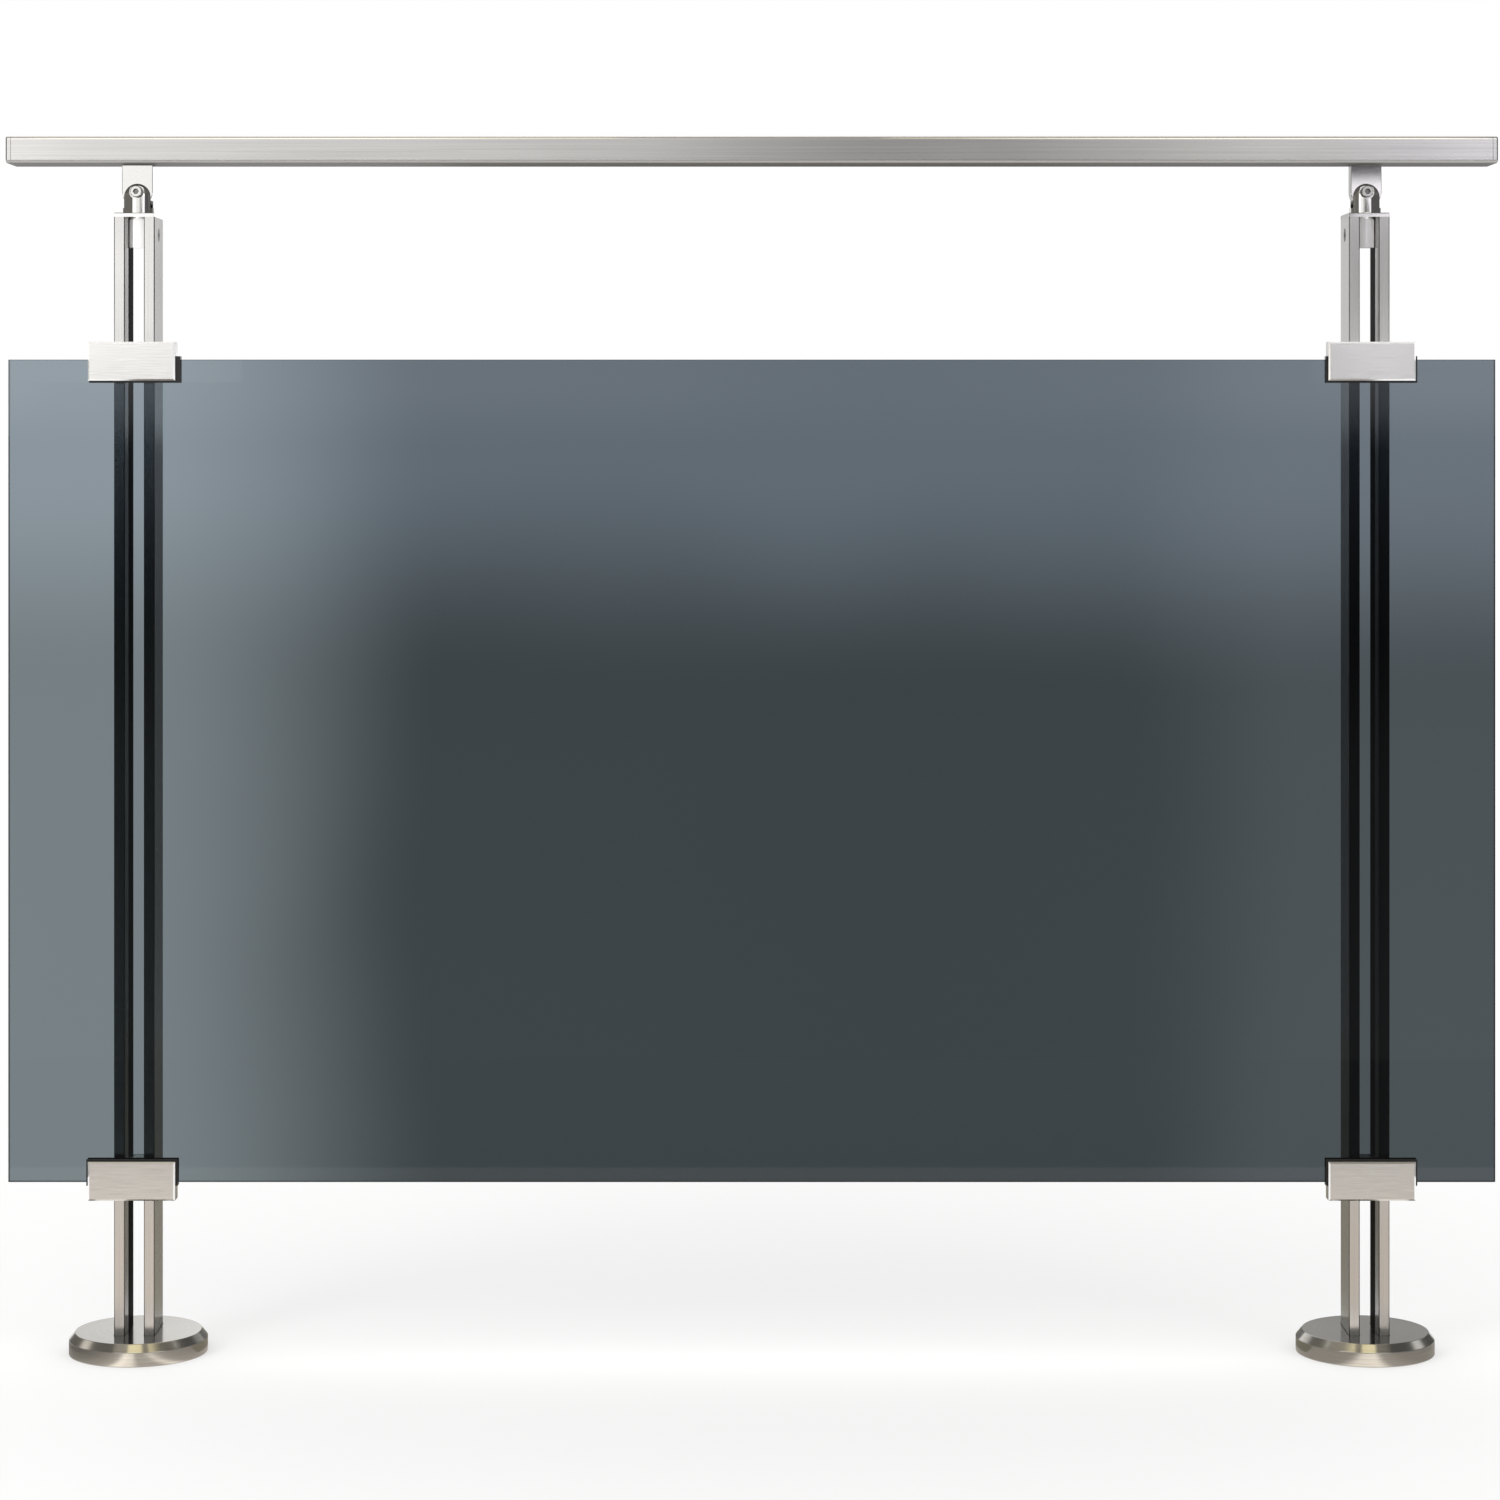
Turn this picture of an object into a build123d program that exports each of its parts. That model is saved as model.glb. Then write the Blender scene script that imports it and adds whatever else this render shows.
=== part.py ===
from build123d import *
import os

# Balcony railing bay: two posts, each of two flat bars, carry a flat handrail on hinged brackets,
# and four clamps hold one acrylic sheet in front of them.
# Millimetres. The origin is on the floor midway between the posts. X runs along the handrail,
# the sheet's side is the front and faces -Y, and Z is up.

# Bay
overall_height = 900
post_spacing = 910

# Handrail tube and the caps in its ends, each with a fine groove where it meets the tube
rail_length = 1100
rail_width = 40
rail_height = 20
rail_wall = 2
rail_corner = 2.5
end_cap_thickness = 4
end_cap_edge = 1.4
end_cap_seam = 0.4
plug_length = 14
plug_wall = 2.5
plug_clearance = 0.2

# Posts
bar_thickness = 8
bar_width = 40
bar_gap = 14
bar_edge = 0.8

# Anchor plate under each post, welded to its bars
plate_diameter = 90
plate_thickness = 6
anchor_circle = 70
anchor_count = 4
anchor_hole = 9
weld_leg = 3.5
weld_rise = 3

# Cover over the anchor plate
cover_diameter = 102
cover_height = 16
cover_wall = 1.5
cover_bevel_width = 4.6
cover_bevel_height = 5.6
cover_edge = 0.6
slot_clearance = 0.4

# Cap on top of each post, with its spigot between the bars
cap_thickness = 3
cap_edge = 0.5
spigot_length = 22
spigot_clearance = 0.1
relief_height = 1.2
relief_depth = 0.9
cap_screw_drop = 12.5

# Hinged bracket between post and handrail
pivot_height = 16.2
tongue_rise = 20.3
tongue_width = 22.7
tongue_edge = 0.4
fork_diameter = 23
fork_slot = 12
hinge_clearance = 0.15
slot_floor_clearance = 0.5
dome_drop = 3.8
flare_radius = 0.8
fork_stud = 8
fork_stud_length = 12
stud_end_clearance = 0.5

# Pivot bolt through the bracket, with a cylinder head in a counterbore
pivot_thread = 5
pivot_bolt_length = 18
pivot_head = 8.6
pivot_head_height = 5
pivot_head_edge = 0.5
pivot_key = 4
pivot_key_depth = 2.6
pivot_counterbore = 11
pivot_seat = 8
pivot_hole = 5.4

# Stud, washer and nut that hold the bracket's tongue under the handrail
rail_thread = 6
rail_stud_depth = 11
rail_stud_tail = 1.5
rail_stud_hole = 6.6
washer_diameter = 12
washer_thickness = 1.6
nut_across_flats = 10
nut_height = 5

# Flat-head screws through the bars, into the caps' spigots and the spacers
bar_screw = 5
bar_screw_head = 10
bar_screw_length = 12
bar_screw_hole = 5.5
bar_screw_key = 3
bar_screw_key_depth = 2

# Acrylic sheet
panel_width = 1092
panel_thickness = 5
panel_corner = 0.5
panel_edge = 0.4

# Clamps: a front shell with the web past the sheet's edge, and a back plate against the post.
# The lower ones are set up from the floor and the upper ones down from the top of the handrail.
lower_clamp_bottom = 118
upper_clamp_drop = 152
clamp_width = 64
clamp_height = 28.5
clamp_web = 10.5
clamp_plate = 3.5
clamp_bevel = 1.2
clamp_screw_spacing = 48

# Rubber liner around the sheet's edge in each clamp
liner_leg = 1
liner_web = 2.5
liner_lip = 1.5
liner_overhang = 1.5
liner_edge = 0.35
upper_left_liner_slip = 2

# Flat-head screws that close each clamp from behind
clamp_screw = 4
clamp_screw_head = 8
clamp_screw_length = 10
clamp_screw_hole = 4.5
clamp_screw_key = 2.5
clamp_screw_key_depth = 1.6

# Spacer between the bars at each clamp, and the flat-head screw that fixes the clamp to it
spacer_depth = 18
spacer_clearance = 0.1
fixing_screw = 6
fixing_screw_head = 11.6
fixing_screw_length = 18
fixing_screw_hole = 6.4
fixing_screw_key = 4
fixing_screw_key_depth = 2.2

# Clearances that the fasteners share
thread_clearance = 0.05
countersink_clearance = 0.1
bore_end_clearance = 1

# Heights and depths that follow from the sizes above
rail_bottom = overall_height - rail_height
pivot_z = rail_bottom - tongue_rise
cap_top = pivot_z - pivot_height
post_top = cap_top - cap_thickness
cap_screw_z = post_top - cap_screw_drop
post_front = -bar_width / 2
post_width = bar_gap + 2 * bar_thickness
bar_offset = (bar_gap + bar_thickness) / 2
clamp_depth = 2 * clamp_plate + 2 * liner_leg + panel_thickness
clamp_front_y = post_front - clamp_depth
clamp_split_y = post_front - clamp_plate
panel_back_y = clamp_split_y - liner_leg
panel_bottom = lower_clamp_bottom + clamp_web + liner_web
upper_clamp_top = overall_height - upper_clamp_drop
panel_top = upper_clamp_top - clamp_web - liner_web
panel_height = panel_top - panel_bottom
fixing_rise = (clamp_web + clamp_height) / 2
spacer_screw_y = post_front + spacer_depth / 2
tongue_radius = tongue_width / 2

toward_front = (0, -1, 0)
toward_back = (0, 1, 0)

os.makedirs("parts", exist_ok=True)


# Writes a finished piece under its name
def save(piece, name):
    piece.part.label = name
    export_step(piece.part, f"parts/{name}.step")


# Horizontal plane at a height, centred on a point of the X axis
def level(x, z):
    return Plane(origin=(x, 0, z), x_dir=(1, 0, 0), z_dir=(0, 0, 1))


# Upright plane across Y, seen from the front: its local axes are X, measured from x, and Z
def elevation(x, y):
    return Plane(origin=(x, y, 0), x_dir=(1, 0, 0), z_dir=toward_front)


# Upright plane across X: its local axes are Y and Z
def section(x):
    return Plane(origin=(x, 0, 0), x_dir=(0, 1, 0), z_dir=(1, 0, 0))


# Flat-head screws: each seat is the plane of a head's face and looks away from the screw
def flat_head_screws(seats, thread, length, head, key, key_depth):
    cone = (head - thread) / 2
    with BuildPart(*seats) as screws:
        Cone(thread / 2, head / 2, cone, align=(Align.CENTER, Align.CENTER, Align.MAX))
        Cylinder(thread / 2, length, align=(Align.CENTER, Align.CENTER, Align.MAX))
        with BuildSketch(*seats):
            RegularPolygon(key / 2, 6, major_radius=False)
        extrude(amount=-key_depth, mode=Mode.SUBTRACT)
    return screws


# Handrail: a rectangular tube with rounded corners, drilled from below over each post
def handrail_tube():
    half = rail_length / 2 - end_cap_thickness
    centre_z = overall_height - rail_height / 2
    inner_corner = max(rail_corner - rail_wall, 0.3)
    with BuildPart() as tube:
        with BuildSketch(section(-half)):
            with Locations((0, centre_z)):
                RectangleRounded(rail_width, rail_height, rail_corner)
                RectangleRounded(
                    rail_width - 2 * rail_wall,
                    rail_height - 2 * rail_wall,
                    inner_corner,
                    mode=Mode.SUBTRACT,
                )
        extrude(amount=2 * half)
        with Locations(level(-post_spacing / 2, rail_bottom), level(post_spacing / 2, rail_bottom)):
            Cylinder(
                rail_stud_hole / 2,
                rail_wall,
                align=(Align.CENTER, Align.CENTER, Align.MIN),
                mode=Mode.SUBTRACT,
            )
    return tube


# End cap: a plate with a rounded rim, and a hollow plug that slides into the tube
def end_cap(side):
    face_x = side * (rail_length / 2 - end_cap_thickness)
    mouth = Plane(
        origin=(face_x, 0, overall_height - rail_height / 2),
        x_dir=(0, 1, 0),
        z_dir=(side, 0, 0),
    )
    plug_width = rail_width - 2 * (rail_wall + plug_clearance)
    plug_height = rail_height - 2 * (rail_wall + plug_clearance)
    with BuildPart(mouth) as cap:
        with BuildSketch(mouth):
            RectangleRounded(rail_width, rail_height, rail_corner)
        extrude(amount=end_cap_thickness)
        outer_face = cap.faces().sort_by(Axis((0, 0, 0), (side, 0, 0)))[-1]
        fillet(outer_face.edges(), end_cap_edge)
        chamfer(cap.faces().sort_by(Axis((0, 0, 0), (side, 0, 0)))[0].edges(), end_cap_seam)
        with BuildSketch(mouth):
            RectangleRounded(plug_width, plug_height, plug_clearance + 0.5)
            Rectangle(plug_width - 2 * plug_wall, plug_height - 2 * plug_wall, mode=Mode.SUBTRACT)
        extrude(amount=-plug_length)
    return cap


# One flat bar of a post, countersunk on its outward face for each screw that crosses the post.
# Each crossing is the Y and the Z of a screw's axis.
def flat_bar(post_x, side, crossings):
    outward = (side, 0, 0)
    face_x = post_x + side * post_width / 2
    foot = level(post_x + side * bar_offset, plate_thickness)
    seats = [Plane(origin=(face_x, y, z), z_dir=outward) for y, z in crossings]
    with BuildPart() as bar:
        with BuildSketch(foot):
            RectangleRounded(bar_thickness, bar_width, bar_edge)
        extrude(amount=post_top - plate_thickness)
        with Locations(*seats):
            CounterSinkHole(
                bar_screw_hole / 2,
                bar_screw_head / 2 + countersink_clearance,
                depth=bar_thickness,
                counter_sink_angle=90,
            )
    return bar


# Anchor plate: a round plate with a circle of anchor holes and a weld around each bar's foot
def anchor_plate(post_x):
    top = level(post_x, plate_thickness)
    feet = [(-bar_offset, 0), (bar_offset, 0)]
    with BuildPart() as plate:
        with BuildSketch(level(post_x, 0)):
            Circle(plate_diameter / 2)
            with PolarLocations(anchor_circle / 2, anchor_count):
                Circle(anchor_hole / 2, mode=Mode.SUBTRACT)
        extrude(amount=plate_thickness)
        with BuildSketch(top):
            with Locations(*feet):
                Rectangle(bar_thickness + 2 * weld_leg, bar_width + 2 * weld_leg)
        extrude(amount=weld_rise, taper=45)
        with BuildSketch(top):
            with Locations(*feet):
                RectangleRounded(bar_thickness, bar_width, bar_edge)
        extrude(amount=weld_rise, mode=Mode.SUBTRACT)
    return plate


# Cover: a spun shell with a bevelled shoulder, open below, slotted for the two bars
def base_cover(post_x):
    radius = cover_diameter / 2
    shoulder_z = cover_height - cover_bevel_height
    with BuildPart() as cover:
        with BuildSketch(elevation(post_x, 0)):
            with BuildLine():
                Polyline(
                    (0, 0),
                    (radius, 0),
                    (radius, shoulder_z),
                    (radius - cover_bevel_width, cover_height),
                    (0, cover_height),
                    close=True,
                )
            make_face()
        revolve(axis=Axis((post_x, 0, 0), (0, 0, 1)))
        shoulders = cover.edges().filter_by(GeomType.CIRCLE).group_by(Axis.Z)[1:]
        fillet([edge for ring in shoulders for edge in ring], cover_edge)
        offset(amount=-cover_wall, openings=cover.faces().sort_by(Axis.Z)[0])
        with BuildSketch(level(post_x, cover_height)):
            with Locations((-bar_offset, 0), (bar_offset, 0)):
                Rectangle(bar_thickness + 2 * slot_clearance, bar_width + 2 * slot_clearance)
        extrude(amount=-cover_height / 2, mode=Mode.SUBTRACT)
    return cover


# Post cap: a plate over both bars, and a spigot between them with a relief groove under the plate
def post_cap(post_x):
    spigot_radius = bar_gap / 2 - spigot_clearance
    cross_bore = bar_screw / 2 + thread_clearance
    stud_bore = fork_stud / 2 + thread_clearance
    with BuildPart() as cap:
        with BuildSketch(level(post_x, post_top)):
            Rectangle(post_width, bar_width)
        extrude(amount=cap_thickness)
        chamfer(cap.faces().sort_by(Axis.Z)[-1].edges(), cap_edge)
        with BuildSketch(level(post_x, post_top)):
            Circle(spigot_radius - relief_depth)
        extrude(amount=-relief_height)
        with BuildSketch(level(post_x, post_top - relief_height)):
            Circle(spigot_radius)
        extrude(amount=-(spigot_length - relief_height))
        with Locations(level(post_x, cap_top)):
            Hole(stud_bore, depth=fork_stud_length + stud_end_clearance)
        with BuildSketch(section(post_x)):
            with Locations((0, cap_screw_z)):
                Circle(cross_bore)
        extrude(amount=spigot_radius, both=True, mode=Mode.SUBTRACT)
    return cap


# Fork: a turned post with a domed top, slotted for the tongue, on a stud that screws into the cap
def bracket_fork(post_x):
    radius = fork_diameter / 2
    dome_z = pivot_z - dome_drop
    slot_floor = pivot_z - tongue_radius - slot_floor_clearance
    with BuildPart() as fork:
        with BuildSketch(elevation(post_x, 0)):
            with BuildLine():
                seat = Line((fork_stud / 2, cap_top), (radius + flare_radius, cap_top))
                flare = RadiusArc(seat @ 1, (radius, cap_top + flare_radius), flare_radius)
                side = Line(flare @ 1, (radius, dome_z))
                dome = CenterArc((0, dome_z), radius, 0, 90)
                axis_line = Line(dome @ 1, (0, cap_top - fork_stud_length))
                stud_end = Line(axis_line @ 1, (fork_stud / 2, cap_top - fork_stud_length))
                Line(stud_end @ 1, seat @ 0)
            make_face()
        revolve(axis=Axis((post_x, 0, 0), (0, 0, 1)))
        with BuildSketch(level(post_x, slot_floor)):
            Rectangle(3 * radius, fork_slot)
        extrude(amount=fork_diameter, mode=Mode.SUBTRACT)
        with BuildSketch(elevation(post_x, -pivot_seat)):
            with Locations((0, pivot_z)):
                Circle(pivot_counterbore / 2)
        extrude(amount=radius, mode=Mode.SUBTRACT)
        with BuildSketch(elevation(post_x, 0)):
            with Locations((0, pivot_z)):
                Circle(pivot_hole / 2)
        extrude(amount=radius, mode=Mode.SUBTRACT)
        with BuildSketch(elevation(post_x, 0)):
            with Locations((0, pivot_z)):
                Circle(pivot_thread / 2 + thread_clearance)
        extrude(amount=-radius, mode=Mode.SUBTRACT)
    return fork


# Tongue: a flat link with a round lower end about the pivot, tapped from above for the rail stud
def bracket_tongue(post_x):
    thickness = fork_slot - 2 * hinge_clearance
    with BuildPart() as tongue:
        with BuildSketch(elevation(post_x, 0)):
            with Locations((0, pivot_z)):
                Circle(tongue_radius)
            with Locations((0, pivot_z + tongue_rise / 2)):
                Rectangle(tongue_width, tongue_rise)
            with Locations((0, pivot_z)):
                Circle(pivot_hole / 2, mode=Mode.SUBTRACT)
        extrude(amount=thickness / 2, both=True)
        rims = tongue.faces().filter_by(Axis.Y).edges().filter_by(Axis.Z)
        chamfer(rims, tongue_edge)
        with Locations(level(post_x, rail_bottom)):
            Hole(rail_thread / 2 + thread_clearance, depth=rail_stud_depth + stud_end_clearance)
    return tongue


# Pivot bolt: a cylinder head with a hexagon socket in the fork's counterbore, its shank across the slot
def pivot_bolt(post_x):
    seat = Plane(origin=(post_x, -pivot_seat, pivot_z), x_dir=(1, 0, 0), z_dir=toward_front)
    with BuildPart() as bolt:
        with BuildSketch(seat):
            Circle(pivot_head / 2)
        extrude(amount=pivot_head_height)
        chamfer(bolt.faces().sort_by(Axis.Y)[0].edges(), pivot_head_edge)
        with BuildSketch(seat.offset(pivot_head_height)):
            RegularPolygon(pivot_key / 2, 6, major_radius=False)
        extrude(amount=-pivot_key_depth, mode=Mode.SUBTRACT)
        with BuildSketch(seat):
            Circle(pivot_thread / 2)
        extrude(amount=-pivot_bolt_length)
    return bolt


# Stud from the tongue into the handrail, through the washer and the nut inside the tube
def rail_stud(post_x):
    through = rail_wall + washer_thickness + nut_height + rail_stud_tail
    with BuildPart() as stud:
        with BuildSketch(level(post_x, rail_bottom - rail_stud_depth)):
            Circle(rail_thread / 2)
        extrude(amount=rail_stud_depth + through)
    return stud


def rail_washer(post_x):
    with BuildPart() as washer:
        with BuildSketch(level(post_x, rail_bottom + rail_wall)):
            Circle(washer_diameter / 2)
            Circle(rail_stud_hole / 2, mode=Mode.SUBTRACT)
        extrude(amount=washer_thickness)
    return washer


def rail_nut(post_x):
    with BuildPart() as nut:
        with BuildSketch(level(post_x, rail_bottom + rail_wall + washer_thickness)):
            RegularPolygon(nut_across_flats / 2, 6, major_radius=False)
            Circle(rail_thread / 2 + thread_clearance, mode=Mode.SUBTRACT)
        extrude(amount=nut_height)
    return nut


# Acrylic sheet with crisp corners and polished edges
def acrylic_panel():
    with BuildPart() as panel:
        with BuildSketch(elevation(0, panel_back_y)):
            with Locations((0, (panel_bottom + panel_top) / 2)):
                RectangleRounded(panel_width, panel_height, panel_corner)
        extrude(amount=panel_thickness)
        chamfer(panel.faces().filter_by(Axis.Y).edges(), panel_edge)
    return panel


# Clamp shell: front plate and web in one, an L in section, bevelled around its front face.
# In every clamp piece, closed_z is the web's outer face and inward is +1 where the mouth looks up.
def clamp_front(post_x, closed_z, inward):
    web_z = closed_z + inward * clamp_web
    mouth_z = closed_z + inward * clamp_height
    plate_back_y = clamp_front_y + clamp_plate
    screw_z = closed_z + inward * clamp_web / 2
    bore_depth = clamp_screw_length - clamp_plate + bore_end_clearance
    seat = Plane(origin=(post_x, clamp_split_y, screw_z), x_dir=(1, 0, 0), z_dir=toward_back)
    with BuildPart() as shell:
        with BuildSketch(section(post_x)):
            with BuildLine():
                Polyline(
                    (clamp_front_y, closed_z),
                    (clamp_split_y, closed_z),
                    (clamp_split_y, web_z),
                    (plate_back_y, web_z),
                    (plate_back_y, mouth_z),
                    (clamp_front_y, mouth_z),
                    close=True,
                )
            make_face()
        extrude(amount=clamp_width / 2, both=True)
        chamfer(shell.faces().sort_by(Axis.Y)[0].edges(), clamp_bevel)
        with Locations(seat):
            with GridLocations(clamp_screw_spacing, 1, 2, 1):
                Hole(clamp_screw / 2 + thread_clearance, depth=bore_depth)
    return shell


# Clamp back plate: flat against the post, countersunk behind for the closing screws
# and in front, under the liner, for the fixing screw
def clamp_back(post_x, closed_z, inward):
    middle_z = closed_z + inward * clamp_height / 2
    screw_z = closed_z + inward * clamp_web / 2
    fixing_z = closed_z + inward * fixing_rise
    behind = Plane(origin=(post_x, post_front, screw_z), x_dir=(1, 0, 0), z_dir=toward_back)
    inside = Plane(origin=(post_x, clamp_split_y, fixing_z), x_dir=(1, 0, 0), z_dir=toward_front)
    with BuildPart() as plate:
        with BuildSketch(elevation(post_x, post_front)):
            with Locations((0, middle_z)):
                Rectangle(clamp_width, clamp_height)
        extrude(amount=clamp_plate)
        with Locations(behind):
            with GridLocations(clamp_screw_spacing, 1, 2, 1):
                CounterSinkHole(
                    clamp_screw_hole / 2,
                    clamp_screw_head / 2 + countersink_clearance,
                    depth=clamp_plate,
                    counter_sink_angle=90,
                )
        with Locations(inside):
            CounterSinkHole(
                fixing_screw_hole / 2,
                fixing_screw_head / 2 + countersink_clearance,
                depth=clamp_plate,
                counter_sink_angle=90,
            )
    return plate


# Rubber liner: a channel around the sheet's edge, a little wider than its clamp
def clamp_liner(post_x, closed_z, inward, slip):
    web_z = closed_z + inward * clamp_web
    edge_z = web_z + inward * liner_web
    lip_z = closed_z + inward * (clamp_height + liner_lip)
    panel_front_y = panel_back_y - panel_thickness
    with BuildPart() as liner:
        with BuildSketch(section(post_x + slip)):
            with BuildLine():
                Polyline(
                    (panel_back_y + liner_leg, web_z),
                    (panel_back_y + liner_leg, lip_z),
                    (panel_back_y, lip_z),
                    (panel_back_y, edge_z),
                    (panel_front_y, edge_z),
                    (panel_front_y, lip_z),
                    (panel_front_y - liner_leg, lip_z),
                    (panel_front_y - liner_leg, web_z),
                    close=True,
                )
            make_face()
        extrude(amount=clamp_width / 2 + liner_overhang, both=True)
        lips = liner.faces().filter_by(Axis.Z).sort_by(Axis.Z, reverse=inward > 0)[:2]
        fillet(lips.edges().filter_by(Axis.X), liner_edge)
    return liner


# Spacer between the bars, tapped in front for the fixing screw and across for the bar screws
def spacer_block(post_x, closed_z, inward):
    middle_z = closed_z + inward * clamp_height / 2
    fixing_z = closed_z + inward * fixing_rise
    screw_z = closed_z + inward * clamp_web / 2
    block_width = bar_gap - 2 * spacer_clearance
    bore_depth = fixing_screw_length - clamp_plate + bore_end_clearance
    front = Plane(origin=(post_x, post_front, fixing_z), x_dir=(1, 0, 0), z_dir=toward_front)
    with BuildPart() as block:
        with BuildSketch(elevation(post_x, post_front)):
            with Locations((0, middle_z)):
                Rectangle(block_width, clamp_height)
        extrude(amount=-spacer_depth)
        with Locations(front):
            Hole(fixing_screw / 2 + thread_clearance, depth=bore_depth)
        with BuildSketch(section(post_x)):
            with Locations((spacer_screw_y, screw_z)):
                Circle(bar_screw / 2 + thread_clearance)
        extrude(amount=block_width / 2, both=True, mode=Mode.SUBTRACT)
    return block


# The two flat-head screws that enter a post from its outward faces at one crossing
def bar_screws(post_x, y, z):
    seats = [
        Plane(origin=(post_x + side * post_width / 2, y, z), z_dir=(side, 0, 0))
        for side in (-1, 1)
    ]
    return flat_head_screws(
        seats, bar_screw, bar_screw_length, bar_screw_head, bar_screw_key, bar_screw_key_depth
    )


# The two flat-head screws that close a clamp from behind
def clamp_screws(post_x, closed_z, inward):
    screw_z = closed_z + inward * clamp_web / 2
    seats = [
        Plane(origin=(post_x + side * clamp_screw_spacing / 2, post_front, screw_z), z_dir=toward_back)
        for side in (-1, 1)
    ]
    return flat_head_screws(
        seats,
        clamp_screw,
        clamp_screw_length,
        clamp_screw_head,
        clamp_screw_key,
        clamp_screw_key_depth,
    )


# The flat-head screw that fixes a clamp's back plate to the spacer
def clamp_fixing(post_x, closed_z, inward):
    fixing_z = closed_z + inward * fixing_rise
    seat = Plane(origin=(post_x, clamp_split_y, fixing_z), z_dir=toward_front)
    return flat_head_screws(
        [seat],
        fixing_screw,
        fixing_screw_length,
        fixing_screw_head,
        fixing_screw_key,
        fixing_screw_key_depth,
    )


save(handrail_tube(), "handrail_tube")
save(end_cap(-1), "left_end_cap")
save(end_cap(1), "right_end_cap")
save(acrylic_panel(), "acrylic_panel")

# Each clamp's closed end and the way from there into its mouth
clamps = {"lower": (lower_clamp_bottom, 1), "upper": (upper_clamp_top, -1)}
spacer_crossings = [
    (spacer_screw_y, closed_z + inward * clamp_web / 2) for closed_z, inward in clamps.values()
]

for post_name, post_side in (("left", -1), ("right", 1)):
    post_x = post_side * post_spacing / 2
    crossings = [(0, cap_screw_z)] + spacer_crossings

    save(flat_bar(post_x, post_side, crossings), f"{post_name}_outer_bar")
    save(flat_bar(post_x, -post_side, crossings), f"{post_name}_inner_bar")
    save(anchor_plate(post_x), f"{post_name}_anchor_plate")
    save(base_cover(post_x), f"{post_name}_base_cover")
    save(post_cap(post_x), f"{post_name}_post_cap")
    save(bar_screws(post_x, 0, cap_screw_z), f"{post_name}_cap_screws")
    save(bracket_fork(post_x), f"{post_name}_bracket_fork")
    save(bracket_tongue(post_x), f"{post_name}_bracket_tongue")
    save(pivot_bolt(post_x), f"{post_name}_pivot_bolt")
    save(rail_stud(post_x), f"{post_name}_rail_stud")
    save(rail_washer(post_x), f"{post_name}_rail_washer")
    save(rail_nut(post_x), f"{post_name}_rail_nut")

    for level_name, (closed_z, inward) in clamps.items():
        clamp_name = f"{level_name}_{post_name}"
        slip = upper_left_liner_slip if clamp_name == "upper_left" else 0
        spacer_screw_z = closed_z + inward * clamp_web / 2
        save(clamp_front(post_x, closed_z, inward), f"{clamp_name}_clamp_front")
        save(clamp_back(post_x, closed_z, inward), f"{clamp_name}_clamp_back")
        save(clamp_liner(post_x, closed_z, inward, slip), f"{clamp_name}_liner")
        save(clamp_screws(post_x, closed_z, inward), f"{clamp_name}_clamp_screws")
        save(clamp_fixing(post_x, closed_z, inward), f"{clamp_name}_clamp_fixing")
        save(spacer_block(post_x, closed_z, inward), f"{clamp_name}_spacer")
        save(bar_screws(post_x, spacer_screw_y, spacer_screw_z), f"{clamp_name}_spacer_screws")
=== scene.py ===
import math
import bpy
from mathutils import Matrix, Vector

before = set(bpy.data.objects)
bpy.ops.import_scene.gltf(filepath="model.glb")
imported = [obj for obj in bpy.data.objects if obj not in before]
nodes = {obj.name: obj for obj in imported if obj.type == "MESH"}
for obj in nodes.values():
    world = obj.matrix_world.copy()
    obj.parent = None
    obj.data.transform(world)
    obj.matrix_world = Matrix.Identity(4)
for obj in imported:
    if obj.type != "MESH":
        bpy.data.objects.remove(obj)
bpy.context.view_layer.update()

# Balcony railing bay in a white studio. Metres, in the frame's own axes: X along the handrail,
# the sheet faces -Y, Z is up and the floor is at 0.
mm = 0.001
scene = bpy.context.scene
print("frame loaded:", len(nodes), "nodes")


# Colours are written as sRGB hex and turned linear here
def hexColor(text):
    channels = [int(text[i:i + 2], 16) / 255 for i in (1, 3, 5)]
    linear = [c / 12.92 if c <= 0.04045 else ((c + 0.055) / 1.055) ** 2.4 for c in channels]
    return (*linear, 1)


# Adds a node, sets its properties and its sockets, and links the sockets that are given another's output
def addNode(tree, kind, sockets={}, **settings):
    node = tree.nodes.new(kind)
    for name, value in settings.items():
        setattr(node, name, value)
    for key, value in sockets.items():
        if isinstance(value, bpy.types.NodeSocket):
            tree.links.new(value, node.inputs[key])
        else:
            node.inputs[key].default_value = value
    return node


def newMaterial(name):
    material = bpy.data.materials.new(name)
    material.use_nodes = True
    material.node_tree.nodes.clear()
    return material


# Gives every CAD node whose record slot has this name the material
def dress(slot, material):
    count = 0
    for node in nodes.values():
        for materialSlot in node.material_slots:
            if materialSlot.material and materialSlot.material.name.split(".")[0] == slot:
                materialSlot.material = material
                count += 1
    print("dressed:", slot, "on", count, "nodes")


# Camera, level and in front of the bay at the height of the sheet's upper edge.
# The shift only brings the bay into the frame, as the level camera looks over the sheet.
camera = {
    "place": (0, -2.825, 0.676),
    "lens": 91.37,
    "sensorWidth": 36,
    "clip": (0.05, 200),
    "shiftX": -0.0012,
    "shiftY": -0.2067,
}


def makeCamera():
    data = bpy.data.cameras.new("camera")
    data.lens = camera["lens"]
    data.sensor_width = camera["sensorWidth"]
    data.shift_x = camera["shiftX"]
    data.shift_y = camera["shiftY"]
    data.clip_start, data.clip_end = camera["clip"]
    holder = bpy.data.objects.new("camera", data)
    holder.location = camera["place"]
    holder.rotation_euler = (math.pi / 2, 0, 0)
    scene.collection.objects.link(holder)
    scene.camera = holder


makeCamera()

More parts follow.
